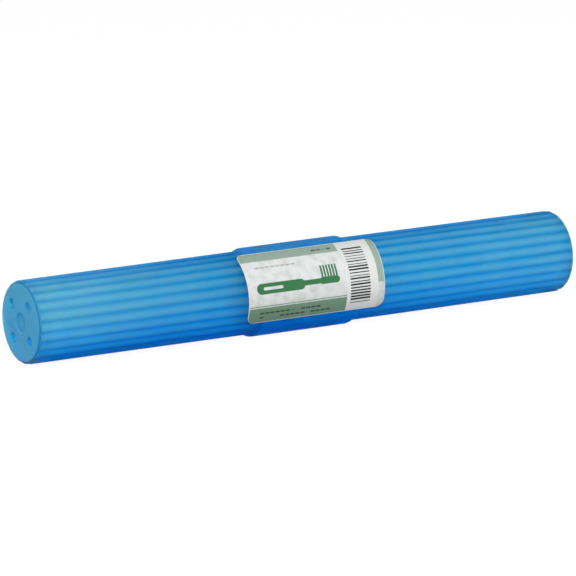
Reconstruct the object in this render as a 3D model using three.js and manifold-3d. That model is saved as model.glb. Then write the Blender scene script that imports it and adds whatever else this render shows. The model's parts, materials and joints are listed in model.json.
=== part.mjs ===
// Travel toothbrush holder: a reeded tube in two mouldings, with a push-fit cap and a paper label.
// The tube lies along X with its cap towards +X, and rests on its collar at Z = 0.
import * as THREE from 'three';
import { mergeVertices } from 'three/addons/utils/BufferGeometryUtils.js';
import Module from 'manifold-3d';

const wasm = await Module();
wasm.setup();

// Driving dimensions, in millimetres

const CASE_LENGTH = 200;
const TUBE_DIAMETER = 27.2; // over the reed crests, at the open end of each tube
const TUBE_DRAFT = THREE.MathUtils.degToRad(0.1); // each side narrows towards the closed end
const TUBE_WALL = 1.2; // from a reed crest to the bore
const END_WALL = 1.4;
const END_ROUND = 1.55; // corner between the closed end and the side
const BORE_ROUND = 0.8;

const REED_COUNT = 24;
const REED_DEPTH = 0.4; // from crest to valley
const REED_START = 0.25; // from the closed end's face to the start of the valleys
const REED_RUNIN = 0.4; // over which a valley reaches its full depth
const REED_RUNOUT = 1.6; // over which the valleys run out into the plain band
const REED_TURN = THREE.MathUtils.degToRad(3.75); // first valley, turned from the top to the front
const PLAIN_BAND = 1; // smooth wall between the reeds and the open end of a tube

const COLLAR_STEP = 0.9; // the collar stands this far above the reed crests
const COLLAR_LENGTH = 38.3; // from the foot of the shoulder to the lip
const LIP_OFFSET = 18.4; // from the middle of the case to the lip
const SHOULDER_LENGTH = 1.8;
const SHOULDER_FOOT = 0.1; // small step where the shoulder starts
const LIP_CHAMFER_LENGTH = 1.4;
const LIP_CHAMFER_DEPTH = 0.65;
const SOCKET_WALL = 0.9;
const SOCKET_FLOOR_SETBACK = 0.5; // from the top of the shoulder to the floor of the socket

const SPIGOT_CLEARANCE = 0.15; // radial play of the cap's spigot in the socket
const SPIGOT_LEAD = 0.4; // chamfer that guides the spigot in
const SEAT_GAP = 0.3; // end play of the closed cap

const GATE_WELL_DIAMETER = 6.6; // shallow round recess in the middle of a closed end
const GATE_WELL_DEPTH = 0.5;
const VENT_COUNT = 4;
const VENT_DIAMETER = 3.2;
const VENT_CIRCLE_RADIUS = 7.8;
const VENT_TURN = THREE.MathUtils.degToRad(40); // first vent, turned from the top to the front

const LABEL_LENGTH = 50.8;
const LABEL_WIDTH = 25.4; // measured round the collar
const LABEL_CORNER = 2.5;
const LABEL_THICKNESS = 0.15;
const LABEL_GAP = 0.1; // adhesive film
const LABEL_SHIFT = 1.3; // from the middle of the collar towards the cap
const LABEL_LIFT = THREE.MathUtils.degToRad(20.6); // middle of the label, above the level of the axis

// Fineness of the round surfaces

const REED_FACETS = 4;
const ROUND_SIDES = 48;
const VENT_SIDES = 20;
const CORNER_STEPS = 2; // a quarter round gets twice as many facets
const SHOULDER_STEPS = 4;
const LABEL_CORNER_STEPS = 4;
const LABEL_ROWS = 10;
const CUT_OVERRUN = 1; // a cutting tool runs this far past the face it opens

// Sizes that follow from the driving dimensions

const TUBE_RADIUS = TUBE_DIAMETER / 2;
const COLLAR_RADIUS = TUBE_RADIUS + COLLAR_STEP;
const SOCKET_RADIUS = COLLAR_RADIUS - SOCKET_WALL;
const SPIGOT_RADIUS = SOCKET_RADIUS - SPIGOT_CLEARANCE;

// Stations along each moulding, measured from its own closed end
const COLLAR_FOOT = CASE_LENGTH / 2 + LIP_OFFSET - COLLAR_LENGTH;
const COLLAR_CREST = COLLAR_FOOT + SHOULDER_LENGTH;
const SOCKET_FLOOR = COLLAR_CREST + SOCKET_FLOOR_SETBACK;
const LIP = COLLAR_FOOT + COLLAR_LENGTH;
const CAP_TUBE_LENGTH = CASE_LENGTH / 2 - LIP_OFFSET - SEAT_GAP;
const SPIGOT_TIP = CASE_LENGTH - SOCKET_FLOOR - SEAT_GAP;

// A flat facet of the collar lies on the ground
const FACET_TURN = Math.PI / ROUND_SIDES;
const AXIS_HEIGHT = COLLAR_RADIUS * Math.cos(FACET_TURN);

// Solids: a closed geometry goes in, joins and cuts are made, and a geometry comes out

function solidFrom(geometry) {
  const bare = geometry.toNonIndexed();
  bare.deleteAttribute('normal');
  bare.deleteAttribute('uv');
  const merged = mergeVertices(bare);
  const triangles = [];
  const index = merged.index.array;
  for (let i = 0; i < index.length; i += 3) {
    const [a, b, c] = index.slice(i, i + 3);
    const collapsed = a === b || b === c || c === a;
    if (!collapsed) triangles.push(a, b, c);
  }
  return new wasm.Manifold(new wasm.Mesh({
    numProp: 3,
    vertProperties: new Float32Array(merged.attributes.position.array),
    triVerts: new Uint32Array(triangles),
  }));
}

function geometryFrom(solid) {
  const { vertProperties, triVerts } = solid.getMesh();
  const geometry = new THREE.BufferGeometry();
  geometry.setAttribute('position', new THREE.BufferAttribute(new Float32Array(vertProperties), 3));
  geometry.setIndex(new THREE.BufferAttribute(new Uint32Array(triVerts), 1));
  geometry.computeVertexNormals();
  return geometry;
}

// A revolved profile of (radius, station) points, laid down so that stations run along +X
function revolve(profile, sides, turn) {
  return new THREE.LatheGeometry(profile, sides, turn);
}

function layAlongX(geometry) {
  return geometry.rotateZ(-Math.PI / 2);
}

function roundSolid(profile) {
  return solidFrom(layAlongX(revolve(profile, ROUND_SIDES, FACET_TURN)));
}

function cylinderAlongX(radius, length, sides) {
  return layAlongX(new THREE.CylinderGeometry(radius, radius, length, sides));
}

// The reeded tube with its closed end at station 0

function crestRadius(station, length) {
  const fromOpenEnd = Math.max(0, length - station);
  return TUBE_RADIUS - fromOpenEnd * Math.tan(TUBE_DRAFT);
}

function boreRadius(station, length) {
  return crestRadius(station, length) - TUBE_WALL;
}

// Each reed is a parabolic lobe: full height at its middle, REED_DEPTH lower at both of its valleys.
// The valleys start bluntly on the rounded corner of the closed end, which is smooth up to there.
function carveReeds(geometry, turn, length) {
  const { smoothstep } = THREE.MathUtils;
  const reedsEnd = length - PLAIN_BAND;
  const position = geometry.attributes.position;
  for (let i = 0; i < position.count; i += 1) {
    const radius = Math.hypot(position.getX(i), position.getZ(i));
    if (radius === 0) continue;
    const angle = Math.atan2(position.getX(i), position.getZ(i));
    const station = position.getY(i);
    const across = ((angle - turn) / (2 * Math.PI)) * REED_COUNT;
    const fromCrest = 2 * (across - Math.floor(across)) - 1;
    const runin = smoothstep(station, REED_START, REED_START + REED_RUNIN);
    const runout = smoothstep(station, reedsEnd - REED_RUNOUT, reedsEnd);
    const cut = fromCrest ** 2 * runin * (1 - runout);
    const scale = (radius - REED_DEPTH * cut) / radius;
    position.setX(i, position.getX(i) * scale);
    position.setZ(i, position.getZ(i) * scale);
  }
  return geometry;
}

// A plain stub may reach past the open end, to be joined to what follows
function reededTube(length, reach, turn) {
  const end = crestRadius(END_ROUND, length);
  const reedsEnd = length - PLAIN_BAND;
  const profile = new THREE.Path();
  profile.moveTo(0, 0);
  profile.lineTo(end - END_ROUND, 0);
  profile.absarc(end - END_ROUND, END_ROUND, END_ROUND, -Math.PI / 2, 0);
  for (const station of [reedsEnd - REED_RUNOUT, reedsEnd, reach]) {
    profile.lineTo(crestRadius(station, length), station);
  }
  profile.lineTo(0, reach);
  const plain = revolve(profile.getPoints(CORNER_STEPS), REED_COUNT * REED_FACETS, turn);
  return solidFrom(layAlongX(carveReeds(plain, turn, length)));
}

// The inside of a tube, from its floor to a station past its open end
function bore(length, reach) {
  const floor = boreRadius(END_WALL, length);
  const profile = new THREE.Path();
  profile.moveTo(0, END_WALL);
  profile.lineTo(floor - BORE_ROUND, END_WALL);
  profile.absarc(floor - BORE_ROUND, END_WALL + BORE_ROUND, BORE_ROUND, -Math.PI / 2, 0);
  profile.lineTo(boreRadius(length, length), length);
  profile.lineTo(boreRadius(reach, length), reach);
  profile.lineTo(0, reach);
  return roundSolid(profile.getPoints(CORNER_STEPS));
}

// The recess and the vents that a closed end is pierced with
function endOpenings() {
  const wellReach = 2 * GATE_WELL_DEPTH;
  let openings = solidFrom(cylinderAlongX(GATE_WELL_DIAMETER / 2, wellReach, ROUND_SIDES));
  const ventLength = 2 * (END_WALL + CUT_OVERRUN);
  for (let i = 0; i < VENT_COUNT; i += 1) {
    const angle = VENT_TURN + (i * 2 * Math.PI) / VENT_COUNT;
    const vent = cylinderAlongX(VENT_DIAMETER / 2, ventLength, VENT_SIDES);
    vent.translate(0, -VENT_CIRCLE_RADIUS * Math.sin(angle), VENT_CIRCLE_RADIUS * Math.cos(angle));
    openings = openings.add(solidFrom(vent));
  }
  return openings;
}

// The body: a reeded tube whose open end swells into a smooth collar, bored out as a socket

function collar() {
  const profile = [new THREE.Vector2(0, COLLAR_FOOT)];
  for (let i = 0; i <= SHOULDER_STEPS; i += 1) {
    const along = i / SHOULDER_STEPS;
    const rise = THREE.MathUtils.smoothstep(along, 0, 1) * (COLLAR_STEP - SHOULDER_FOOT);
    const radius = TUBE_RADIUS + SHOULDER_FOOT + rise;
    profile.push(new THREE.Vector2(radius, COLLAR_FOOT + along * SHOULDER_LENGTH));
  }
  profile.push(
    new THREE.Vector2(COLLAR_RADIUS, LIP - LIP_CHAMFER_LENGTH),
    new THREE.Vector2(COLLAR_RADIUS - LIP_CHAMFER_DEPTH, LIP),
    new THREE.Vector2(0, LIP),
  );
  return roundSolid(profile);
}

function socket() {
  return roundSolid([
    new THREE.Vector2(0, SOCKET_FLOOR),
    new THREE.Vector2(SOCKET_RADIUS, SOCKET_FLOOR),
    new THREE.Vector2(SOCKET_RADIUS, LIP + CUT_OVERRUN),
    new THREE.Vector2(0, LIP + CUT_OVERRUN),
  ]);
}

function caseBody() {
  const solid = reededTube(COLLAR_FOOT, COLLAR_FOOT + SHOULDER_LENGTH / 2, REED_TURN)
    .add(collar())
    .subtract(bore(COLLAR_FOOT, SOCKET_FLOOR + CUT_OVERRUN))
    .subtract(socket())
    .subtract(endOpenings());
  return geometryFrom(solid).translate(-CASE_LENGTH / 2, 0, 0);
}

// The cap: the same reeded tube, with a smooth spigot that slides into the socket

function spigot() {
  return roundSolid([
    new THREE.Vector2(0, CAP_TUBE_LENGTH - PLAIN_BAND),
    new THREE.Vector2(SPIGOT_RADIUS, CAP_TUBE_LENGTH - PLAIN_BAND),
    new THREE.Vector2(SPIGOT_RADIUS, SPIGOT_TIP - SPIGOT_LEAD),
    new THREE.Vector2(SPIGOT_RADIUS - SPIGOT_LEAD, SPIGOT_TIP),
    new THREE.Vector2(0, SPIGOT_TIP),
  ]);
}

function caseCap() {
  const solid = reededTube(CAP_TUBE_LENGTH, CAP_TUBE_LENGTH, -REED_TURN)
    .add(spigot())
    .subtract(bore(CAP_TUBE_LENGTH, SPIGOT_TIP + CUT_OVERRUN))
    .subtract(endOpenings());
  return geometryFrom(solid).rotateZ(Math.PI).translate(CASE_LENGTH / 2, 0, 0);
}

// The label: a round-cornered rectangle wrapped on the collar, its ends reaching past both steps

function labelRows() {
  const straight = LABEL_WIDTH / 2 - LABEL_CORNER;
  const upper = [];
  for (let i = 0; i <= LABEL_CORNER_STEPS; i += 1) {
    const angle = (i / LABEL_CORNER_STEPS) * (Math.PI / 2);
    upper.push(straight + LABEL_CORNER * Math.sin(angle));
  }
  const middle = [];
  for (let i = 1; i < LABEL_ROWS; i += 1) {
    middle.push(straight * ((2 * i) / LABEL_ROWS - 1));
  }
  const lower = upper.map((row) => -row).reverse();
  return [...lower, ...middle, ...upper];
}

function labelHalfLength(row) {
  const intoCorner = Math.max(0, Math.abs(row) - (LABEL_WIDTH / 2 - LABEL_CORNER));
  return LABEL_LENGTH / 2 - LABEL_CORNER + Math.sqrt(LABEL_CORNER ** 2 - intoCorner ** 2);
}

function paperLabel() {
  const rows = labelRows();
  const steps = rows.length - 1;
  const middle = LIP - COLLAR_LENGTH / 2 + LABEL_SHIFT - CASE_LENGTH / 2;
  const inside = COLLAR_RADIUS + LABEL_GAP;
  const sheet = new THREE.BoxGeometry(2, 1, 1, 1, steps, 1);
  const position = sheet.attributes.position;
  for (let i = 0; i < position.count; i += 1) {
    const row = rows[Math.round((position.getY(i) + 0.5) * steps)];
    const radius = inside + (position.getZ(i) + 0.5) * LABEL_THICKNESS;
    const angle = LABEL_LIFT + row / inside;
    const along = middle + position.getX(i) * labelHalfLength(row);
    position.setXYZ(i, along, -radius * Math.cos(angle), radius * Math.sin(angle));
  }
  return geometryFrom(solidFrom(sheet));
}

// The finished object

const bluePlastic = new THREE.MeshStandardMaterial({ color: 0x2f8fd0, roughness: 0.35, metalness: 0 });
const capPlastic = bluePlastic.clone();
const labelPaper = new THREE.MeshStandardMaterial({ color: 0xd5dbd3, roughness: 0.75, metalness: 0 });

function piece(name, geometry, material) {
  const mesh = new THREE.Mesh(geometry, material);
  mesh.name = name;
  return mesh;
}

const holder = new THREE.Group();
holder.add(piece('case_body', caseBody(), bluePlastic));
holder.add(piece('case_cap', caseCap(), capPlastic));
holder.add(piece('paper_label', paperLabel(), labelPaper));
holder.position.z = AXIS_HEIGHT;

export default holder;
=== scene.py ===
# %% [markdown]
# # A travel toothbrush holder
# The holder is a tube in two blue plastic mouldings, lying on a table. The left one, the body,
# swells into a smooth collar. The right one, the cap, pushes into that collar. A paper label
# sits on the collar. The packed model gives the place and the overall size of every piece, so
# the first step loads it and keeps the boxes of its pieces.

# %% Load the frame
import json

import bmesh
import bpy
import numpy as np
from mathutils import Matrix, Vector

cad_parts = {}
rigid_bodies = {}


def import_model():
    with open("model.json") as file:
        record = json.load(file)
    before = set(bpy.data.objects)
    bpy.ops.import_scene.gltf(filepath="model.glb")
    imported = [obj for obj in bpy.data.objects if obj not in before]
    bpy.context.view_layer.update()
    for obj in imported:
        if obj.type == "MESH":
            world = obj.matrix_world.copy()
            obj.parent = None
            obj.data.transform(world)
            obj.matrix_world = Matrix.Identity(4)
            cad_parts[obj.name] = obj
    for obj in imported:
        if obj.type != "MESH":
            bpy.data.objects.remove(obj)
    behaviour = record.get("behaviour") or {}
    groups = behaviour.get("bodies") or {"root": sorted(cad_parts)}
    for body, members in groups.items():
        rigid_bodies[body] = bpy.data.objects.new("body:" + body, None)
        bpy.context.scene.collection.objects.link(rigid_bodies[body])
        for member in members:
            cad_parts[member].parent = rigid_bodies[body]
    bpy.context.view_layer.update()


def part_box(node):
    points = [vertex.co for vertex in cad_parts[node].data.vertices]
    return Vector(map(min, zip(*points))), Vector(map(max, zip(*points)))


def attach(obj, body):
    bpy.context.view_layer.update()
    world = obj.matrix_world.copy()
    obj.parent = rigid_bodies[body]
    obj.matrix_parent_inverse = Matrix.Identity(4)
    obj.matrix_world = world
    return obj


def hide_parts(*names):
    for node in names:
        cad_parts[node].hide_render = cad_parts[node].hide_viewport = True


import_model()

# %% [markdown]
# ## Sizes
# Stations run along the tube from a closed end. Radii run out from its axis, and angles turn from
# the top towards the front. A point of the cross section is written as one complex number, so
# that turning and shifting it stay short. Lengths are in metres. The boxes of the packed pieces
# give the main sizes, and only what a box can't tell is written here, in millimetres times MM.

# %% Sizes of the tube
MM = 0.001
COLLAR_LENGTH = 38.3 * MM
LIP_GAP = 0.3 * MM
SOCKET_WALL = 0.9 * MM
SPIGOT_CLEARANCE = 0.15 * MM
TUBE_DRAFT = np.radians(0.1)
TUBE_WALL = 1.2 * MM
END_WALL = 1.4 * MM

body_low, body_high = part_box("case_body")
cap_low, cap_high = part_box("case_cap")
label_low, label_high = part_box("paper_label")

AXIS_HEIGHT = (body_low.z + body_high.z) / 2
COLLAR_RADIUS = (body_high.z - body_low.z) / 2
SOCKET_RADIUS = COLLAR_RADIUS - SOCKET_WALL
SPIGOT_RADIUS = SOCKET_RADIUS - SPIGOT_CLEARANCE
TUBE_RADIUS = (cap_high.z - cap_low.z) / 2
BORE_RADIUS = TUBE_RADIUS - TUBE_WALL
BODY_LENGTH = body_high.x - body_low.x
COLLAR_FOOT = BODY_LENGTH - COLLAR_LENGTH
CAP_LENGTH = cap_high.x - cap_low.x
CAP_TUBE_LENGTH = cap_high.x - body_high.x - LIP_GAP
print(f"radius of the tube {TUBE_RADIUS / MM:.2f} mm, of the collar {COLLAR_RADIUS / MM:.2f} mm")

# %% [markdown]
# ## Outlines with rounded corners
# A moulding has no sharp edge, because the mould's cutter and the flow of the plastic round it.
# A Bevel modifier could round the edges of a finished mesh. Here every corner has its own round,
# known before there is a mesh, so the arcs are worked out in the outline itself. An outline is a
# list of corners, and each arc touches both edges of its corner.

# %% Outlines
ARC_STEPS = 13
STRAIGHT_STEP = 4.0 * MM


def corner_arc(before, corner, after, bend):
    """Arc of radius bend that touches the two edges of a corner.

    Its centre lies on the bisector, bend / sin(half angle) away. Its ends lie bend / tan(half angle)
    along both edges. The points between turn evenly about the centre from one end to the other.
    """
    back = (before - corner) / np.linalg.norm(before - corner)
    ahead = (after - corner) / np.linalg.norm(after - corner)
    half = np.arccos(np.clip(back @ ahead, -1, 1)) / 2
    bisector = (back + ahead) / np.linalg.norm(back + ahead)
    centre = corner + bisector * bend / np.sin(half)
    start = corner + back * bend / np.tan(half) - centre
    end = corner + ahead * bend / np.tan(half) - centre
    sweep = np.pi - 2 * half
    share = np.linspace(0, 1, ARC_STEPS)[:, None]
    turned = np.sin((1 - share) * sweep) * start + np.sin(share * sweep) * end
    return centre + turned / np.sin(sweep)


def rounded_outline(corners):
    """Points through corners of (station, radius, round): an arc at each, and split straights."""
    place = np.array([corner[:2] for corner in corners])
    bends = [bend for _, _, bend in corners[1:-1]]
    arcs = [corner_arc(*near) for near in zip(place, place[1:], place[2:], bends)]
    pieces = [place[:1], *arcs, place[-1:]]
    filled = pieces[:1]
    for first, second in zip(pieces, pieces[1:]):
        gap = np.linalg.norm(second[0] - first[-1])
        share = np.linspace(0, 1, int(np.ceil(gap / STRAIGHT_STEP)) + 1)[1:-1, None]
        filled += [first[-1] + share * (second[0] - first[-1]), second]
    return np.concatenate(filled)


square_corner = rounded_outline([(0, 0, 0), (0, MM, MM / 2), (MM, MM, 0)])
print(f"a square corner becomes {len(square_corner)} points")

# %% [markdown]
# ## From grids to meshes
# Every surface here is a grid of points, made by a formula on whole arrays. A mesh also needs to
# know which four points make a face, and that is simple counting in a grid. A moulding is made of
# several grids, so those that meet are welded: points in the same place become one, slivers go,
# and the faces are turned outwards. A closed piece has no edge with only one face.

# %% Meshes
WELD_DISTANCE = 0.002 * MM
SLIVER = 0.001 * MM


def grid_quads(rows, columns, closed):
    """Quads of a grid of points; a closed grid joins its last column to its first."""
    row = np.arange(rows - 1)[:, None]
    column = np.arange(columns if closed else columns - 1)[None, :]
    after = (column + 1) % columns
    corners = np.broadcast_arrays(
        row * columns + column,
        row * columns + after,
        (row + 1) * columns + after,
        (row + 1) * columns + column,
    )
    return np.stack(corners, axis=-1).reshape(-1, 4)


def new_mesh(name, points, quads):
    """A mesh of points and of quads that count them."""
    mesh = bpy.data.meshes.new(name)
    mesh.from_pydata(points.reshape(-1, 3).tolist(), [], quads.tolist())
    return mesh


def new_object(name, data):
    """An object that puts a mesh, a camera or a lamp into the scene."""
    shown = bpy.data.objects.new(name, data)
    bpy.context.collection.objects.link(shown)
    return shown


def welded_piece(name, patches):
    """One closed mesh of several closed grids of points, welded where they meet."""
    points = np.concatenate([grid.reshape(-1, 3) for grid in patches])
    first = np.cumsum([0] + [grid[..., 0].size for grid in patches])
    quads = [grid_quads(*grid.shape[:2], True) + start for grid, start in zip(patches, first)]
    mesh = new_mesh(name, points, np.concatenate(quads))
    welded = bmesh.new()
    welded.from_mesh(mesh)
    bmesh.ops.remove_doubles(welded, verts=welded.verts, dist=WELD_DISTANCE)
    bmesh.ops.dissolve_degenerate(welded, edges=welded.edges, dist=SLIVER)
    bmesh.ops.recalc_face_normals(welded, faces=welded.faces)
    open_edges = sum(not edge.is_manifold for edge in welded.edges)
    welded.to_mesh(mesh)
    welded.free()
    mesh.shade_smooth()
    print(f"{name}: {len(mesh.polygons)} faces, {open_edges} open edges")
    return new_object(name, mesh)


print(f"a closed band of 2 by 4 points has {len(grid_quads(2, 4, True))} quads")

# %% [markdown]
# ## The reeds
# Fine ribs, called reeds, run along both tubes and give wet fingers a hold. Each is a low convex
# lobe with a narrow valley on both sides. They could be a bump in the material, but the outline
# and the light inside the valleys would be missing, so the radius itself is cut back. The valleys
# start bluntly on the rounded corner of the closed end, which is smooth up to there. Near the
# open end they run out into a plain band.

# %% Share of the reeds' cut
REED_COUNT = 24
REED_DEPTH = 0.4 * MM
REED_START = 0.25 * MM
REED_RUNIN = 0.4 * MM
REED_RUNOUT = 1.6 * MM
REED_TURN = np.radians(3.75)
PLAIN_BAND = 1.0 * MM
REED_COLUMNS = 10
REED_PITCH = 2 * np.pi / REED_COUNT
COLUMN_STEP = REED_PITCH / REED_COLUMNS
COLUMN_ANGLE = REED_TURN + np.arange(REED_COUNT * REED_COLUMNS) * COLUMN_STEP


def smooth_step(share):
    """Rise from 0 to 1 with level ends: 3 s^2 - 2 s^3."""
    share = np.clip(share, 0, 1)
    return share * share * (3 - 2 * share)


def reed_share(station, angle, tube_length):
    """Share of the cut: the square of the way from a crest (0) to a valley (1).

    It rises quickly at the closed end and fades out before the open end.
    """
    across = 2 * ((angle - REED_TURN) / REED_PITCH % 1) - 1
    runin = smooth_step((station - REED_START) / REED_RUNIN)
    fade = smooth_step((tube_length - PLAIN_BAND - station) / REED_RUNOUT)
    return across**2 * runin * fade


print(f"{REED_COUNT} reeds, {TUBE_RADIUS * REED_PITCH / MM:.2f} mm wide")

# %% [markdown]
# ## The vents
# Each closed end has four small vents that let a wet brush dry. A Boolean modifier could drill
# them, but it leaves long thin faces that shade badly. A disc with a hole has no plain grid
# either, so it is split into quarters with one vent each. In a quarter, rings of quads grow from
# the vent's edge out to the quarter's border, on the outer and on the inner face. A rounded wall
# joins the two faces through the hole.

# %% A quarter of a closed end
GATE_WELL_RADIUS = 3.3 * MM
HUB_MARGIN = 0.5 * MM
HUB_RADIUS = GATE_WELL_RADIUS + HUB_MARGIN
VENT_RADIUS = 1.6 * MM
VENT_CIRCLE = 7.8 * MM
VENT_ROUND = 0.3 * MM
VENT_COUNT = 4
VENT_PITCH = 2 * np.pi / VENT_COUNT
BORDER_STEPS = 10
RING_STEPS = 6


def quarter_border(first_column, hub, rim):
    """Border of a quarter: along the hub, out, back along the rim and in, as complex points."""
    columns = first_column + np.arange(COLUMN_ANGLE.size // VENT_COUNT + 1)
    ray = np.exp(1j * COLUMN_ANGLE[columns % COLUMN_ANGLE.size])
    spoke = np.linspace(hub, rim, BORDER_STEPS + 1)[1:-1]
    return np.concatenate([hub * ray, spoke * ray[-1], rim * ray[::-1], spoke[::-1] * ray[0]])


def vented_quarter(angle, rim, floor_rim, place):
    """Grids of the quarter whose vent lies at an angle: outer face, inner face, wall of the vent.

    A ring of a face is the vent's edge, moved by a share of the way to the quarter's border.
    """
    first = int(round((angle - VENT_PITCH / 2 - REED_TURN) / COLUMN_STEP))
    middle = VENT_CIRCLE * np.exp(1j * angle)
    border = quarter_border(first, HUB_RADIUS, rim)
    floor_border = quarter_border(first, HUB_RADIUS, floor_rim)
    ray = (border - middle) / np.abs(border - middle)
    edge = middle + (VENT_RADIUS + VENT_ROUND) * ray
    share = np.linspace(0, 1, RING_STEPS)[:, None]
    wall = rounded_outline([
        (0, VENT_RADIUS + VENT_ROUND, 0),
        (0, VENT_RADIUS, VENT_ROUND),
        (END_WALL, VENT_RADIUS, VENT_ROUND),
        (END_WALL, VENT_RADIUS + VENT_ROUND, 0),
    ])
    return [
        place(0 * share, edge + share * (border - edge)),
        place(END_WALL + 0 * share, edge + share * (floor_border - edge)),
        place(wall[:, :1], middle + wall[:, 1:] * ray),
    ]


print(f"{VENT_COUNT} vents of {2 * VENT_RADIUS / MM:.1f} mm in a closed end")

# %% [markdown]
# ## The closed ends
# The middle of a closed end is a shallow round well, where the plastic entered the mould. It is
# an outline carried round the axis, and so is the plain hub behind it. Together with the four
# quarters they make the whole end wall.

# %% Closed end
GATE_WELL_DEPTH = 0.5 * MM
WELL_ROUND = 0.2 * MM
WELL_DRAFT = 0.1 * MM


def closed_end(rim, floor_rim, vent_turn, place):
    """Grids of an end wall: the four quarters, the well outside and the hub inside."""
    patches = []
    for angle in vent_turn + np.arange(VENT_COUNT) * VENT_PITCH:
        patches += vented_quarter(angle, rim, floor_rim, place)
    well = rounded_outline([
        (0, HUB_RADIUS, 0),
        (0, GATE_WELL_RADIUS, WELL_ROUND),
        (GATE_WELL_DEPTH, GATE_WELL_RADIUS - WELL_DRAFT, WELL_ROUND),
        (GATE_WELL_DEPTH, 0, 0),
    ])
    hub = rounded_outline([(END_WALL, HUB_RADIUS, 0), (END_WALL, 0, 0)])
    around = np.exp(1j * COLUMN_ANGLE)
    patches += [place(outline[:, :1], outline[:, 1:] * around) for outline in (well, hub)]
    return patches


print(f"a well {GATE_WELL_DEPTH / MM:.1f} mm deep in a wall of {END_WALL / MM:.1f} mm")

# %% [markdown]
# ## The two mouldings
# Body and cap are made alike: one outline carried round the axis, out along the reeded tube,
# round its open end and back along the bore. A Screw modifier could carry it round, but the reeds
# change the radius with the angle, so the grid is worked out at once. Both tubes taper a little
# towards the closed end, so that they leave the mould. What differs is the open end, which is
# given as a list of corners between the outside and the bore.

# %% A moulding
END_ROUND = 1.55 * MM
BORE_ROUND = 0.8 * MM
WHOLE_EDGE = 0.999


def closed_radius(tube_length):
    """Outer radius at the closed end: that of the open end, less the draft over the length."""
    return TUBE_RADIUS - tube_length * np.tan(TUBE_DRAFT)


def moulding(name, end_x, direction, tube_length, open_end, vent_turn):
    """A reeded tube, closed at end_x. The radius of its side is the outline's less the reeds' cut."""
    end = closed_radius(tube_length)
    bore_end = end - TUBE_WALL
    rim = end - END_ROUND
    floor_rim = bore_end - BORE_ROUND

    def place(station, section):
        """Points in the room: x along the tube, and the section's parts up and to the front."""
        x = end_x + direction * station + 0 * section.real
        return np.stack([x, -section.imag, AXIS_HEIGHT + section.real], axis=-1)

    outline = rounded_outline([
        (0, rim, 0),
        (0, end, END_ROUND * WHOLE_EDGE),
        *open_end,
        (END_WALL, bore_end, BORE_ROUND * WHOLE_EDGE),
        (END_WALL, floor_rim, 0),
    ])
    station, radius = outline[:, :1], outline[:, 1:]
    outside = np.arange(len(outline))[:, None] <= np.argmax(station)
    cut = REED_DEPTH * reed_share(station, COLUMN_ANGLE, tube_length) * outside
    side = place(station, (radius - cut) * np.exp(1j * COLUMN_ANGLE))
    return welded_piece(name, [side, *closed_end(rim, floor_rim, vent_turn, place)])


print(f"the closed end is {(TUBE_RADIUS - closed_radius(COLLAR_FOOT)) / MM:.2f} mm smaller in radius")

# %% [markdown]
# ## Body and cap
# The body's outline climbs a soft shoulder to the collar, turns in at a chamfered lip, and comes
# back through the socket. The cap's outline steps down to the spigot that fills that socket. The
# spigot is a little thinner than the socket, so that the two never touch.

# %% Body and cap
SHOULDER_LENGTH = 1.8 * MM
SHOULDER_ROUND = 1.2 * MM
LIP_CHAMFER_LENGTH = 1.4 * MM
LIP_CHAMFER_DEPTH = 0.65 * MM
LIP_ROUND = 0.075 * MM
SOCKET_STOP = 0.5 * MM
SOCKET_FLOOR = COLLAR_FOOT + SHOULDER_LENGTH + SOCKET_STOP
STEP_ROUND = 0.05 * MM
SPIGOT_LEAD = 0.4 * MM
EDGE_ROUND = 0.15 * MM
BODY_VENT_TURN = np.radians(40)
CAP_VENT_TURN = np.radians(50)

collar_and_socket = [
    (COLLAR_FOOT, TUBE_RADIUS, SHOULDER_ROUND),
    (COLLAR_FOOT + SHOULDER_LENGTH, COLLAR_RADIUS, SHOULDER_ROUND),
    (BODY_LENGTH - LIP_CHAMFER_LENGTH, COLLAR_RADIUS, LIP_CHAMFER_DEPTH),
    (BODY_LENGTH, COLLAR_RADIUS - LIP_CHAMFER_DEPTH, LIP_ROUND),
    (BODY_LENGTH, SOCKET_RADIUS, LIP_ROUND),
    (SOCKET_FLOOR, SOCKET_RADIUS, EDGE_ROUND),
    (SOCKET_FLOOR, BORE_RADIUS, EDGE_ROUND),
]
spigot = [
    (CAP_TUBE_LENGTH, TUBE_RADIUS, STEP_ROUND),
    (CAP_TUBE_LENGTH, SPIGOT_RADIUS, STEP_ROUND),
    (CAP_LENGTH, SPIGOT_RADIUS, SPIGOT_LEAD),
    (CAP_LENGTH, BORE_RADIUS, EDGE_ROUND),
]
body = moulding("case_body_shell", body_low.x, 1, COLLAR_FOOT, collar_and_socket, BODY_VENT_TURN)
cap = moulding("case_cap_shell", cap_high.x, -1, CAP_TUBE_LENGTH, spigot, CAP_VENT_TURN)

# %% [markdown]
# ## Tones in the plastic, with painted light and shade
# Milky plastic isn't one blue. Where the wall is thin it scatters less and looks clear and deep,
# as in the valleys. Light loses strength on its way down to the lower side, and along the tube to
# the collar. A renderer finds only part of that in a short time, so each point of a moulding
# stores a few tones from 0 to 1, and most of them are painted light and shade: painted shade in
# the vents, in the well, in a line round the rim and on the lower side, a strip along the top,
# and a drift along the tube. They could be painted by hand. Here they are formulas of the point's
# station and angle, because the grid was made from those. The first two helpers find the places,
# and the painted shade in the vents and the well of an end face.

# %% Places, vents and well
# Painted shade in the recesses of a closed end: the vents' walls, and the well's wall and floor.
VENT_SHADE = 0.5
WELL_SHADE = 0.08
WELL_WALL = 3 * WELL_ROUND


def shell_places(piece, end_x):
    """Station, and place in the cross section as a complex number, of each point of a moulding."""
    points = np.empty((len(piece.data.vertices), 3), np.float32)
    piece.data.vertices.foreach_get("co", points.ravel())
    return abs(points[:, 0] - end_x), points[:, 2] - AXIS_HEIGHT - 1j * points[:, 1]


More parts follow.
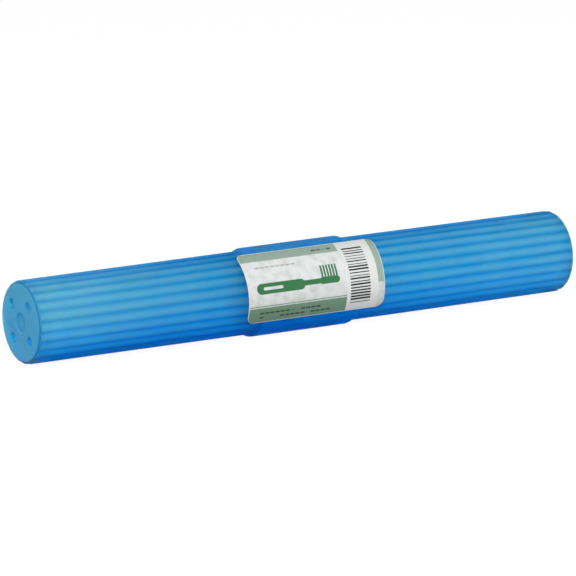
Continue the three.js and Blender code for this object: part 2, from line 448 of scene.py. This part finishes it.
def recess_shade(station, section, vent_turn):
    """Painted shade in the vents and the well: full on their walls, faint on the well's floor.

    A point is turned to the nearest vent, and its distance from that vent's middle is measured.
    """
    turned = np.angle(section * np.exp(-1j * vent_turn)) % VENT_PITCH
    nearest = np.minimum(turned, VENT_PITCH - turned)
    from_vent = abs(abs(section) * np.exp(1j * nearest) - VENT_CIRCLE)
    vents = VENT_SHADE * smooth_step((VENT_RADIUS + VENT_ROUND - from_vent) / VENT_ROUND)
    sunk = smooth_step((station - WELL_ROUND / 2) / WELL_ROUND)
    on_wall = smooth_step((abs(section) - GATE_WELL_RADIUS + WELL_WALL) / WELL_ROUND)
    well = sunk * (WELL_SHADE + (VENT_SHADE - WELL_SHADE) * on_wall)
    in_well = (abs(section) < GATE_WELL_RADIUS) * (station < END_WALL / 2)
    return np.maximum(vents * (station < END_WALL), well * in_well)


print(f"body: {len(shell_places(body, body_low.x)[0])} points to tone")

# %% [markdown]
# The next helper adds up how clear or shaded each point is: the clear valleys, the painted
# shadow line round the rim, and the painted shade of the vents and well, whichever is strongest.
# The corner of the closed end and a slow drift of painted light and shade along the tube come on
# top. The drift has its own values for the upper and the lower side.

# %% Clear plastic and painted shade
REED_CLEAR = 0.55
# A painted shadow line round the rim of a closed end, before the reeds begin.
RIM_SHADOW = 0.3 * MM
RIM_SHADOW_WIDTH = 0.35 * MM
RIM_SHADOW_CLEAR = 0.8
CORNER_RISE = 0.5 * MM
CORNER_FADE = 3.5 * MM
CORNER_CLEAR = 0.25


def past_rim(station, section, tube_length):
    """0 on the flat of a closed end, rising to 1 over its rounded corner."""
    on_corner = abs(section) > closed_radius(tube_length) - END_ROUND
    return smooth_step(station / CORNER_RISE) * on_corner


def clear_and_shade_tone(station, section, tube_length, vent_turn, shade_drift, outside):
    """The strongest of valley, painted rim shadow and painted recess shade, plus the corner's share
    and the painted drift.

    The valleys follow the sine of a quarter turn times the reeds' cut, and the painted shadow line
    is a bell curve.
    """
    cut = reed_share(station, np.angle(section), tube_length)
    valleys = REED_CLEAR * np.sin(cut * np.pi / 2)
    # The painted shadow line round the rim.
    rim_shadow = RIM_SHADOW_CLEAR * np.exp(-((station - RIM_SHADOW) / RIM_SHADOW_WIDTH) ** 2)
    spots = np.maximum(valleys, rim_shadow) * outside
    corner = 1 - smooth_step((station - CORNER_RISE) / CORNER_FADE)
    corner = corner * past_rim(station, section, tube_length)
    recesses = recess_shade(station, section, vent_turn)
    return np.maximum(spots, recesses) + CORNER_CLEAR * corner + shade_drift


print(f"valleys are {REED_CLEAR:.0%} clear, the rim's line {RIM_SHADOW_CLEAR:.0%}")

# %% [markdown]
# The last helper makes all seven tones of a moulding and stores them. Besides the clear and
# shaded one, they tell the painted shade of the lower side, the strip along the top, painted darker
# on the tubes and lighter on the collar, the smooth collar and spigot, the thick plastic round a
# closed end, the flat of that end, and the inside. Values of the painted light and shade at the
# closed and at the open end of a tube come in pairs.

# %% Tones of a moulding
# Painted shade: below this height the lower side of a tube is painted a darker blue.
LOWER_SHADE_TOP = 0.3
# Half the width of the painted strip along the top of a tube.
TOP_HALF = np.radians(35)
THICK_START = 1.5 * MM
THICK_FADE = 3.0 * MM
# Painted light and shade along a tube: how much darker the upper and the lower side are painted, and
# how strong the painted lower shade is, at the closed and at the open end.
BODY_TONES = {"upper": (0.0, 0.6), "lower": (0.0, 0.6), "shade": (1.0, 1.0)}
CAP_TONES = {"upper": (0.36, 0.5), "lower": (-0.2, 0.45), "shade": (0.85, 1.0)}


def store_tones(piece, end_x, tube_length, vent_turn, upper, lower, shade):
    """Seven tones at each point, each a smooth step of its station, height or angle."""
    station, section = shell_places(piece, end_x)
    along = station / tube_length
    upper, lower, shade = (np.interp(along, [0, 1], pair) for pair in (upper, lower, shade))
    middle_of_wall = closed_radius(tube_length) - TUBE_WALL * 3 / 4
    outside = abs(section) > middle_of_wall
    on_side = station > END_ROUND / 2
    height = section.real / np.maximum(abs(section), MM)
    # Painted shade on the lower side, stronger lower down and scaled by the shade pair.
    lower_shade = smooth_step((LOWER_SHADE_TOP - height) / (1 + LOWER_SHADE_TOP)) * on_side * shade
    # Painted light and shade along the tube: lighter at the closed end, darker towards the open end.
    shade_drift = upper + (lower - upper) * lower_shade
    flat = (1 - past_rim(station, section, tube_length)) * (station < END_WALL)
    tones = {
        "clear_and_shade": clear_and_shade_tone(station, section, tube_length, vent_turn, shade_drift, outside),
        "lower_shade": lower_shade,
        # Painted top: a strip along the top, painted darker on the tubes and lighter on the collar.
        "painted_top": smooth_step(1 - abs(np.angle(section)) / TOP_HALF) * on_side,
        "smooth": smooth_step((station - tube_length + PLAIN_BAND) / SHOULDER_LENGTH) * outside,
        "thick": 1 - smooth_step((station - THICK_START) / THICK_FADE),
        "face": flat,
        "inside": (abs(section) < middle_of_wall) * (station > END_WALL - VENT_ROUND),
    }
    for name, values in tones.items():
        layer = piece.data.attributes.new(name, "FLOAT", "POINT")
        layer.data.foreach_set("value", values.astype(np.float32))
    print(f"{piece.name}: {', '.join(tones)}")


store_tones(body, body_low.x, COLLAR_FOOT, BODY_VENT_TURN, **BODY_TONES)
store_tones(cap, cap_high.x, CAP_TUBE_LENGTH, CAP_VENT_TURN, **CAP_TONES)

# %% [markdown]
# ## The label
# The label is a round-cornered paper rectangle bent round the collar. Its ends stand free past
# the collar's two steps, because paper doesn't follow a step. A Shrinkwrap modifier would press
# it into them, so it is bent by a formula instead, as one grid: rows run along the tube, one
# above the other round it, and near the two long edges each row is shortened along a quarter
# circle. A map in millimetres, stored with the mesh, says where the print goes.

# %% Label sheet
LABEL_LENGTH = label_high.x - label_low.x
LABEL_WIDTH = 25.4 * MM
LABEL_CORNER = 2.5 * MM
LABEL_THICKNESS = 0.15 * MM
LABEL_GAP = 0.1 * MM
LABEL_LIFT = np.radians(20.6)
LABEL_RADIUS = COLLAR_RADIUS + LABEL_GAP + LABEL_THICKNESS
CORNER_ROWS = 10
MIDDLE_ROWS = 44
LABEL_COLUMNS = 80


def label_rows():
    """Each row's distance from the label's middle line, and half its length.

    In a corner, half the length is the straight part plus the root of corner^2 - depth^2.
    """
    straight = LABEL_WIDTH / 2 - LABEL_CORNER
    upper = straight + LABEL_CORNER * np.sin(np.linspace(0, np.pi / 2, CORNER_ROWS))
    middle = np.linspace(-straight, straight, MIDDLE_ROWS)[1:-1]
    row = np.concatenate([-upper[::-1], middle, upper])
    into_corner = np.maximum(0, np.abs(row) - straight)
    bulge = np.sqrt(np.maximum(0, LABEL_CORNER**2 - into_corner**2))
    return row, LABEL_LENGTH / 2 - LABEL_CORNER + bulge


def label_sheet():
    """Grid of x along the tube and of angle round it: the row's distance over the radius."""
    row, half = label_rows()
    along = np.linspace(-1, 1, LABEL_COLUMNS) * half[:, None]
    across = row[:, None] + 0 * along
    angle = LABEL_LIFT + across / LABEL_RADIUS
    points = np.stack([
        (label_low.x + label_high.x) / 2 + along,
        -LABEL_RADIUS * np.cos(angle),
        AXIS_HEIGHT + LABEL_RADIUS * np.sin(angle),
    ], axis=-1)
    quads = grid_quads(*along.shape, False)
    mesh = new_mesh("paper_label_sheet", points, quads)
    mesh.shade_smooth()
    print_place = np.stack([along + LABEL_LENGTH / 2, across + LABEL_WIDTH / 2], axis=-1) / MM
    layer = mesh.uv_layers.new(name="print")
    layer.uv.foreach_set("vector", print_place.reshape(-1, 2)[quads.ravel()].ravel())
    return new_object("paper_label_sheet", mesh)


label = label_sheet()
print(f"label: {len(label.data.polygons)} faces")

# %% [markdown]
# A sheet without thickness looks like film. A Solidify modifier gives it the thickness of paper,
# inwards from the printed side, and an edge that catches light.

# %% Thickness of the paper
paper = label.modifiers.new("paper", "SOLIDIFY")
paper.thickness = LABEL_THICKNESS
paper.offset = -1
paper.use_even_offset = True
print(f"paper {paper.thickness / MM:.2f} mm thick")

# %% [markdown]
# ## Riding the bodies
# In the packed model the cap slides, and the body stands still with its label. A piece made here
# has to follow one of those bodies. It could be parented by hand, but then its place would have
# to be kept in two scripts. So each piece rides its body and takes the place of the packed node
# that it refines.

# %% Ride the bodies
for piece, rides_on, node, slot in (
    (body, "body", "case_body", "body_plastic"),
    (cap, "cap", "case_cap", "cap_plastic"),
    (label, "body", "paper_label", "label_paper"),
):
    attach(piece, rides_on)
    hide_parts(node)
    print(f"{piece.name} rides {rides_on} in place of {node}")

# %% [markdown]
# ## Finishes
# A finish in Blender is a net of shader nodes. Written out one link at a time such a net is hard
# to read, so a small class wraps a socket: a sum of two wrapped sockets adds a Math node, and one
# method adds any other node. The formulas of a pattern then read like formulas.

# %% Shader sockets as expressions
class Wire:
    """A socket of a shader net. Signs between wires and numbers add Math nodes."""

    def __init__(self, tree, socket=None):
        self.tree = tree
        self.socket = socket

    def fill(self, node, values):
        """Fill a node's sockets with numbers, colours or links."""
        for name, value in values.items():
            if isinstance(value, Wire):
                self.tree.links.new(value.socket, node.inputs[name])
            else:
                node.inputs[name].default_value = value

    def add(self, kind, settings, values, output=0):
        """Add a node, set its settings, fill its sockets and give one of its outputs."""
        node = self.tree.nodes.new(kind)
        for name, value in settings.items():
            setattr(node, name, value)
        self.fill(node, values)
        return Wire(self.tree, node.outputs[output])

    def math(self, operation, *others):
        """This wire put through a Math node, with other values after it."""
        return self.add("ShaderNodeMath", {"operation": operation}, dict(enumerate((self, *others))))

    def mix(self, first, second):
        """Blend two colours, with this wire as the share of the second."""
        return self.add("ShaderNodeMix", {"data_type": "RGBA"}, {0: self, 6: first, 7: second}, 2)

    def step(self, low, high):
        """Rise smoothly from 0 at low to 1 at high."""
        values = {"Value": self, "From Min": low, "From Max": high}
        return self.add("ShaderNodeMapRange", {"interpolation_type": "SMOOTHSTEP"}, values)

    def noise(self, scale, detail):
        """Smooth noise about one half, at the place that this wire gives."""
        return self.add("ShaderNodeTexNoise", {}, {"Vector": self, "Scale": scale, "Detail": detail})

    def __add__(self, other):
        return self.math("ADD", other)

    def __sub__(self, other):
        return self.math("SUBTRACT", other)

    def __rsub__(self, other):
        return self.add("ShaderNodeMath", {"operation": "SUBTRACT"}, {0: other, 1: self})

    def __mul__(self, other):
        return self.math("MULTIPLY", other)

    def __truediv__(self, other):
        return self.math("DIVIDE", other)

    __radd__ = __add__
    __rmul__ = __mul__


def new_finish(name, constants):
    """A material with a Principled shader, whose constant sockets are set straight away."""
    material = bpy.data.materials.new(name)
    material.use_nodes = True
    net = Wire(material.node_tree)
    shader = material.node_tree.nodes["Principled BSDF"]
    net.fill(shader, constants)
    return material, shader, net


print(f"{Wire.__name__}: {Wire.__doc__}")

# %% [markdown]
# ## Blue plastic
# The tubes are thin, milky plastic. Light enters the wall, scatters in it and comes out on either
# side, so the hollow inside glows and every further layer makes the blue deeper. A flat blue with
# some gloss would look painted. So the walls are real shells, subsurface scattering carries light
# through them, and a volume between the faces takes out a little more red and green per
# millimetre. A thin wall hardly shifts what lies behind it, so its index of refraction stays near
# one. First come the slight streaks and clouds that the flow leaves, and the fine satin grain.

# %% Streaks, clouds and grain
STREAK_SCALE = (45, 420, 420)
STREAK_DETAIL = 3.0
CLOUD_SCALE = 80
CLOUD_DETAIL = 2.0
SATIN_SCALE = 2600
SATIN_DETAIL = 2.0
SATIN_STRENGTH = 0.15
SATIN_HEIGHT = 0.02 * MM
MILKY_GLOW = {
    "Transmission Weight": 0.6,
    "Subsurface Weight": 1.0,
    "Subsurface Radius": (0.15, 0.6, 1.0),
    "Subsurface Scale": 3 * MM,
}
THIN_WALL = {**MILKY_GLOW, "IOR": 1.03, "Specular IOR Level": 0.5}

plastic, wall_shader, wire = new_finish("blue_plastic", THIN_WALL)
spot = wire.add("ShaderNodeTexCoord", {}, {}, "Object")
drawn_out = wire.add("ShaderNodeMapping", {}, {"Vector": spot, "Scale": STREAK_SCALE})
streaks = drawn_out.noise(1.0, STREAK_DETAIL)
clouds = spot.noise(CLOUD_SCALE, CLOUD_DETAIL)
uneven = (streaks + clouds) / 2 - 0.5
satin = wire.add("ShaderNodeBump", {}, {
    "Strength": SATIN_STRENGTH,
    "Distance": SATIN_HEIGHT,
    "Height": spot.noise(SATIN_SCALE, SATIN_DETAIL),
})
print(f"plastic so far: {len(wire.tree.nodes)} nodes")

# %% [markdown]
# Then the tones that the mouldings store blend a few blues: milky and clear on the lit side, two
# darker ones for the painted shade of the lower side, two for the painted shade of the strip along
# the top, two for the collar, whose top is painted lighter, and one each for a closed end, whose
# flat is painted lighter, and for the inside. Each pair is blended by how clear or shaded the
# plastic is there, or on the collar by how near the top it is. One ramp of blues would be shorter,
# but it couldn't follow two tones at once.

# %% Blues
MILKY_BLUE = (0.27, 0.67, 0.66, 1)
# A darker blue for thin, clear plastic, and for the painted shade of rim, recesses and drift.
CLEAR_AND_SHADE_BLUE = (0.02, 0.34, 0.57, 1)
# Two darker blues, the painted shade of the lower side.
LOWER_SHADE_BLUE = (0.005, 0.51, 0.84, 1)
LOWER_SHADE_DARK_BLUE = (0.0, 0.30, 0.76, 1)
# Two darker blues, the painted shade of the strip along the top.
TOP_SHADE_CREST = (0.05, 0.58, 0.96, 1)
TOP_SHADE_VALLEY = (0.0, 0.27, 0.68, 1)
# A lighter blue, painted light on the flat of a closed end.
END_LIT_BLUE = (0.21, 0.84, 1.0, 1)
COLLAR_BLUE = (0.005, 0.37, 0.80, 1)
# A lighter blue, painted light on the top of the collar.
COLLAR_LIT_TOP = (0.08, 0.47, 0.93, 1)
INSIDE_BLUE = (0.05, 0.58, 0.80, 1)
UNEVEN_CLEAR = 0.5
TOP_SHADE_SHARE = 0.6


def tone(name):
    """A tone that the mouldings store at their points."""
    return wire.add("ShaderNodeAttribute", {"attribute_name": name}, {}, "Fac")


# How clear the plastic is, together with the painted shade of rim, recesses and drift.
clear_and_shade = tone("clear_and_shade") + uneven * UNEVEN_CLEAR
# The strip along the top is painted: darker blue on the tubes, lighter on the collar.
painted_top = tone("painted_top")
# The flat of a closed end is painted lighter, as painted light.
lit_side = clear_and_shade.mix(tone("face").mix(MILKY_BLUE, END_LIT_BLUE), CLEAR_AND_SHADE_BLUE)
# The lower side is painted in darker blues, as painted shade.
shaded_lower_side = clear_and_shade.mix(LOWER_SHADE_BLUE, LOWER_SHADE_DARK_BLUE)
blue = tone("lower_shade").mix(lit_side, shaded_lower_side)
blue = (painted_top * TOP_SHADE_SHARE).mix(blue, clear_and_shade.mix(TOP_SHADE_CREST, TOP_SHADE_VALLEY))
# The collar's top is painted lighter, as painted light.
blue = tone("smooth").mix(blue, painted_top.mix(COLLAR_BLUE, COLLAR_LIT_TOP))
blue = tone("inside").mix(blue, INSIDE_BLUE)
print(f"blended blues: {len(wire.tree.nodes)} nodes")

# %% [markdown]
# Round a closed end the plastic is thick enough to bend light, which draws a dark line along its
# outline. One shader has one index of refraction, so a second shader with a higher one is mixed
# in by the tone for thick plastic. The volume between the faces gives the blue of the depth.

# %% Plastic
ROUGHNESS = 0.45
UNEVEN_ROUGHNESS = 0.4
THICK_WALL = {**MILKY_GLOW, "IOR": 1.25, "Specular IOR Level": 0.0}
DEPTH_BLUE = (0.0, 0.66, 0.93, 1)
DEPTH_DENSITY = 400

surface = {"Base Color": blue, "Roughness": ROUGHNESS + uneven * UNEVEN_ROUGHNESS, "Normal": satin}
wire.fill(wall_shader, surface)
thin_wall = Wire(wire.tree, wall_shader.outputs[0])
thick_wall = wire.add("ShaderNodeBsdfPrincipled", {}, {**THICK_WALL, **surface})
both_walls = wire.add("ShaderNodeMixShader", {}, {0: tone("thick"), 1: thin_wall, 2: thick_wall})
depth = wire.add("ShaderNodeVolumeAbsorption", {}, {"Color": DEPTH_BLUE, "Density": DEPTH_DENSITY})
wire.fill(wire.tree.nodes["Material Output"], {"Surface": both_walls, "Volume": depth})
for piece in (body, cap):
    piece.data.materials.append(plastic)
print(f"plastic: {len(wire.tree.nodes)} nodes")

# %% [markdown]
# ## Label paper
# The label is uncoated recycled paper with a plain design: a sage band above, a green band below,
# a brush in outline, and a panel of bars. A picture file could hold its print, but formulas stay
# sharp at any size. They work on the label's own map, which is in millimetres: u runs along the
# tube and v climbs round it. A mask is 1 inside a shape and 0 outside, and this cell makes the
# masks of simple shapes.

# %% Masks for the print
PRINT_SOFTNESS = 0.06
paper_finish, paper_shader, sheet = new_finish("label_paper", {"IOR": 1.4})
place = sheet.add("ShaderNodeUVMap", {"uv_map": "print"}, {})
u = sheet.add("ShaderNodeSeparateXYZ", {}, {"Vector": place}, "X")
v = sheet.add("ShaderNodeSeparateXYZ", {}, {"Vector": place}, "Y")


def past(value, edge):
    """1 past an edge that is as soft as ink on paper."""
    return value.step(edge - PRINT_SOFTNESS, edge + PRINT_SOFTNESS)


def block(left, right, lower, upper):
    """1 in a rectangle: past two of its edges and not past the other two."""
    return past(u, left) * (1 - past(u, right)) * (past(v, lower) * (1 - past(v, upper)))


def bar(left, right, height, half_width):
    """1 in a bar with round ends: nearer than half_width to a level stretch of line."""
    beyond = (left - u).math("MAXIMUM", u - right).math("MAXIMUM", 0)
    away = v - height
    distance = (beyond * beyond + away * away).math("SQRT")
    return 1 - past(distance, half_width)


def joined(*masks):
    """The largest of several masks."""
    total = masks[0]
    for mask in masks[1:]:
        total = total.math("MAXIMUM", mask)
    return total


print(f"masks work on {len(sheet.tree.nodes)} nodes")

# %% [markdown]
# The paper itself is pale grey and slightly mottled, with short fibres in two directions, and it
# is a little darker lower down. The mottle is noise, and a fibre is a thin peak of noise that is
# stretched one way. Real specks of geometry would be too many.

# %% Paper
PAPER_PALE = (0.66, 0.68, 0.685, 1)
PAPER_SHADE = (0.42, 0.45, 0.425, 1)
FIBRE_GREY = (0.38, 0.43, 0.38, 1)
SHEET_U = LABEL_LENGTH / MM
SHEET_V = LABEL_WIDTH / MM
MOTTLE_SCALE = 0.35
MOTTLE_DETAIL = 4.0
MOTTLE_RANGE = (0.35, 0.75)
MOTTLE_SHARE = 0.5
LOWER_SHARE = 0.4
FIBRE_DETAIL = 2.0
FIBRE_EDGE = 0.08
FIBRE_SHARE = 0.5


def fibres(stretch, turn, scale, level):
    """1 where noise, drawn out and turned, peaks above a level."""
    drawn = {"Vector": place, "Scale": (*stretch, 1), "Rotation": (0, 0, turn)}
    peaks = sheet.add("ShaderNodeMapping", {}, drawn).noise(scale, FIBRE_DETAIL)
    return peaks.step(level, level + FIBRE_EDGE)


mottle = place.noise(MOTTLE_SCALE, MOTTLE_DETAIL)
lower_down = 1 - v / SHEET_V
shade = mottle.step(*MOTTLE_RANGE) * MOTTLE_SHARE + lower_down * LOWER_SHARE
strands = joined(fibres((0.6, 2.4), 0.5, 2.2, 0.66), fibres((2.6, 0.7), 0.9, 2.0, 0.67))
colour = (strands * FIBRE_SHARE).mix(shade.mix(PAPER_PALE, PAPER_SHADE), FIBRE_GREY)
print(f"paper {SHEET_U:.1f} by {SHEET_V:.1f} mm: {len(sheet.tree.nodes)} nodes")

# %% [markdown]
# Bands, lines and a strip at the side frame the print. Each ink is mixed over the colour so far,
# and covers it by a share, because thin ink lets the paper through.

# %% Bands
SAGE_INK = (0.20, 0.30, 0.23, 1)
BAND_INK = (0.09, 0.20, 0.12, 1)
LEAF_INK = (0.02, 0.14, 0.045, 1)
SAGE_COVER = 0.85
BAND_COVER = 0.92
LINE_COVER = 0.8
UPPER_BAND = (21.3, 21.45)
LOWER_BAND = (5.3, 5.45)
GREEN_LINE = (5.75, 6.05)
PANEL_LEFT = 36.6
SIDE_STRIP = (48.3, 48.4)
STRIP_FOOT = (8.9, 9.0)

left_part = 1 - past(u, PANEL_LEFT)
upper_band = v.step(*UPPER_BAND) * left_part
lower_band = (1 - v.step(*LOWER_BAND)) * left_part
side_strip = u.step(*SIDE_STRIP) * v.step(*STRIP_FOOT)
colour = (joined(upper_band, side_strip) * SAGE_COVER).mix(colour, SAGE_INK)
colour = (lower_band * BAND_COVER).mix(colour, BAND_INK)
colour = (block(0, PANEL_LEFT, *GREEN_LINE) * LINE_COVER).mix(colour, LEAF_INK)
print(f"bands from {LOWER_BAND[0]} mm down and {UPPER_BAND[0]} mm up")

# %% [markdown]
# The brush is five shapes: a handle with a light slot, a neck, a head and a comb of bristles.
# Masks that overlap are joined by taking the larger one. A bar is given by its left and right
# end, its height and half its width. The comb is a block in which part of every pitch is left out.

# %% Brush
HANDLE = (5.0, 19.5, 11.6, 1.75)
NECK = (18.0, 28.0, 11.8, 0.85)
HEAD = (27.8, 33.0, 11.8, 1.15)
SLOT = (6.2, 12.5, 11.6, 0.5)
BRISTLES = (27.2, 33.6, 12.9, 16.9)
BRISTLE_PITCH = 1.07
BRISTLE_GAP = (0.34, 0.4)

comb = ((u - BRISTLES[0]) / BRISTLE_PITCH).math("FRACT").step(*BRISTLE_GAP)
brush = joined(bar(*HANDLE), bar(*NECK), bar(*HEAD), block(*BRISTLES) * comb)
colour = (brush * (1 - bar(*SLOT))).mix(colour, LEAF_INK)
print(f"brush {BRISTLES[1] - HANDLE[0] + HANDLE[3]:.1f} mm long")

# %% [markdown]
# Rows of dashes stand for small print. Some dashes are left out, which takes numbers that look
# random and yet come out the same each time. A sine with its leading digits cut off gives one for
# each cell of a row.

# %% Dashes
GREY_INK = (0.30, 0.33, 0.31, 1)
BLACK_INK = (0.012, 0.014, 0.014, 1)
GREY_COVER = 0.8
BLACK_COVER = 0.85
SCATTER_STEP = 12.9898
SCATTER_GAIN = 43758.5
DASH_LENGTH = 1.9
DASH_GAP = (0.14, 0.18)
EMPTY_CELLS = (0.2, 0.24)
GREY_ROW = (4.0, 20.0, 18.5, 19.1)
BLACK_ROWS = ((4.0, 26.8, 3.2, 3.8), (4.0, 32.5, 1.6, 2.2), (25.0, 34.5, 22.8, 23.4))
GREY_SEED = 1.7
BLACK_SEEDS = (4.1, 7.3, 2.9)


def scatter(cell, seed):
    """A number from 0 to 1 for each cell: the far digits of a sine of the cell's index."""
    wave = (cell.math("FLOOR") * SCATTER_STEP + seed).math("SINE")
    return (wave * SCATTER_GAIN).math("FRACT")


def dashes(row, seed):
    """Dashes in a row of (left, right, lower, upper), with some cells left empty."""
    cell = (u - row[0]) / DASH_LENGTH
    return block(*row) * scatter(cell, seed).step(*EMPTY_CELLS) * cell.math("FRACT").step(*DASH_GAP)


colour = (dashes(GREY_ROW, GREY_SEED) * GREY_COVER).mix(colour, GREY_INK)
black_rows = joined(*(dashes(row, seed) for row, seed in zip(BLACK_ROWS, BLACK_SEEDS)))
colour = (black_rows * BLACK_COVER).mix(colour, BLACK_INK)
print(f"{1 + len(BLACK_ROWS)} rows of dashes, {DASH_LENGTH} mm apart")

# %% [markdown]
# A white panel at the right carries bars. Each bar is black over the first part of its cell, and
# the same scattered numbers say how wide that part is.

# %% Panel of bars
PANEL_WHITE = (0.62, 0.63, 0.62, 1)
PANEL_MARGIN = 1
BARS = (38.0, 45.4, 2.9, 22.5)
BAR_PITCH = 0.98
BAR_THINNEST = 0.16
BAR_SPREAD = 0.58
BAR_SEED = 0.8
BAR_SOFTNESS = 0.04

panel = block(PANEL_LEFT, SIDE_STRIP[0], -PANEL_MARGIN, SHEET_V + PANEL_MARGIN)
bar_cell = v / BAR_PITCH
bar_width = BAR_THINNEST + BAR_SPREAD * scatter(bar_cell, BAR_SEED)
bars = block(*BARS) * (bar_width - bar_cell.math("FRACT")).step(0, BAR_SOFTNESS)
colour = bars.mix(panel.mix(colour, PANEL_WHITE), BLACK_INK)
print(f"{int((BARS[3] - BARS[2]) / BAR_PITCH)} bars in the panel")

# %% [markdown]
# The knife leaves a narrow white edge where the paper's core shows. The distance to the label's
# round-cornered outline gives it: the corner's centre is taken off first, and what is left over
# is a length in the corner and a plain margin elsewhere. A fine grain roughens the surface, and
# the finish goes onto the sheet.

# %% Cut edge and paper surface
CUT_EDGE = 0.22
CORE_WHITE = (0.76, 0.76, 0.76, 1)
PAPER_ROUGHNESS = 0.5
MOTTLE_ROUGHNESS = 0.2
GRAIN_SCALE = 9.0
GRAIN_DETAIL = 3.0
GRAIN_STRENGTH = 0.25
GRAIN_HEIGHT = 0.03 * MM
corner = LABEL_CORNER / MM

over_u = (u - SHEET_U / 2).math("ABSOLUTE") - (SHEET_U / 2 - corner)
over_v = (v - SHEET_V / 2).math("ABSOLUTE") - (SHEET_V / 2 - corner)
past_u = over_u.math("MAXIMUM", 0)
past_v = over_v.math("MAXIMUM", 0)
from_centre = (past_u * past_u + past_v * past_v).math("SQRT")
within = over_u.math("MAXIMUM", over_v).math("MINIMUM", 0)
margin = corner - from_centre - within
colour = (1 - past(margin, CUT_EDGE)).mix(colour, CORE_WHITE)
grain = sheet.add("ShaderNodeBump", {}, {
    "Strength": GRAIN_STRENGTH,
    "Distance": GRAIN_HEIGHT,
    "Height": place.noise(GRAIN_SCALE, GRAIN_DETAIL),
})
roughness = PAPER_ROUGHNESS + mottle * MOTTLE_ROUGHNESS
sheet.fill(paper_shader, {"Base Color": colour, "Roughness": roughness, "Normal": grain})
label.data.materials.append(paper_finish)
print(f"label print: {len(sheet.tree.nodes)} nodes")

# %% [markdown]
# ## Camera
# The holder is seen from its left front and a little above, with a long lens from two metres
# away, so that both ends look nearly the same size. A camera could be aimed with a Track To
# constraint. Here its direction is worked out from two angles, and its aim is shifted by a few
# pixels, so that the tube's middle falls on a chosen pixel.

# %% Camera
IMAGE_SIDE = 576
AZIMUTH = np.radians(-30.2)
ELEVATION = np.radians(13.5)
DISTANCE = 1.97
FOCAL_PIXELS = 6067
CENTRE_PIXEL = (293.2, 285.8)
SENSOR_WIDTH = 36

back = Vector((
    np.sin(AZIMUTH) * np.cos(ELEVATION),
    -np.cos(AZIMUTH) * np.cos(ELEVATION),
    np.sin(ELEVATION),
))
right = Vector((np.cos(AZIMUTH), np.sin(AZIMUTH), 0))
up = back.cross(right)
tube_middle = Vector((0, 0, AXIS_HEIGHT))
pixel = DISTANCE / FOCAL_PIXELS
shift_right, shift_down = (value - IMAGE_SIDE / 2 for value in CENTRE_PIXEL)
aim = tube_middle - shift_right * pixel * right + shift_down * pixel * up

lens = bpy.data.cameras.new("camera")
lens.sensor_width = SENSOR_WIDTH
lens.lens = FOCAL_PIXELS / IMAGE_SIDE * SENSOR_WIDTH
camera = new_object("camera", lens)
camera.location = tube_middle + back * DISTANCE
camera.rotation_euler = (aim - camera.location).to_track_quat("-Z", "Y").to_euler()
bpy.context.scene.camera = camera
print(f"lens of {lens.lens:.0f} mm, one pixel is {pixel / MM:.2f} mm at the tube")

# %% [markdown]
# ## Floor
# The holder lies on a white table that runs out of the picture. A white floor under strong lamps
# would throw much light up onto the plastic. So the floor is grey to the lamps, and glows white
# only to the rays that look at it: straight from the camera, off a gloss, or through the plastic.
# It still takes the holder's soft shadow.

# %% Floor
FLOOR_HALF = 6.0
FLOOR_GREY = (0.12, 0.12, 0.12, 1)
FLOOR_GLOW = 0.93
FLOOR_ROUGHNESS = 0.9
LOOKING_RAYS = ("Is Camera Ray", "Is Glossy Ray", "Is Transmission Ray")

floor_corners = np.array([(-1, -1, 0), (1, -1, 0), (1, 1, 0), (-1, 1, 0)]) * FLOOR_HALF
floor_mesh = new_mesh("floor", floor_corners, np.array([(0, 1, 2, 3)]))
floor = new_object("floor", floor_mesh)
floor_finish, floor_shader, floor_wire = new_finish("floor", {
    "Base Color": FLOOR_GREY,
    "Roughness": FLOOR_ROUGHNESS,
    "Specular IOR Level": 0.0,
    "Emission Color": (1, 1, 1, 1),
})
camera_ray, glossy_ray, clear_ray = (
    floor_wire.add("ShaderNodeLightPath", {}, {}, ray) for ray in LOOKING_RAYS
)
glow = (camera_ray + glossy_ray + clear_ray) * FLOOR_GLOW
floor_wire.fill(floor_shader, {"Emission Strength": glow})
floor_mesh.materials.append(floor_finish)
print(f"floor {2 * FLOOR_HALF:.0f} m wide")

# %% [markdown]
# ## Light
# One large softbox stands high on the left, in front. It models the round of the tubes and the
# lit end. A small one near the table on the right lifts the cap's lower side. A dim white world
# fills the rest. An image of a studio could light the scene too, but two lamps are enough for
# one simple shape, and every value stays in the script.

# %% Light
WORLD_LIGHT = 0.2
KEY = {"place": (-1.0, -1.7, 1.25), "target": (0, 0, 0), "size": 1.2, "power": 58}
FILL = {"place": (0.5, -0.3, 0.04), "target": (0.06, 0, AXIS_HEIGHT), "size": 0.2, "power": 2.2}


def softbox(name, place, target, size, power):
    """A square area lamp at a place, turned to a target."""
    light = bpy.data.lights.new(name, "AREA")
    light.size = size
    light.energy = power
    lamp = new_object(name, light)
    lamp.location = place
    lamp.rotation_euler = (Vector(target) - Vector(place)).to_track_quat("-Z", "Y").to_euler()
    print(f"{name}: {power} W")


softbox("key", **KEY)
softbox("fill", **FILL)
world = bpy.data.worlds.new("studio")
world.use_nodes = True
background = world.node_tree.nodes["Background"]
Wire(world.node_tree).fill(background, {"Color": (1, 1, 1, 1), "Strength": WORLD_LIGHT})
bpy.context.scene.world = world
bpy.context.scene.view_settings.view_transform = "Standard"

# %% [markdown]
# ## Sizes
# The sizes of the dressed holder follow the boxes of the packed pieces, read in the first step.
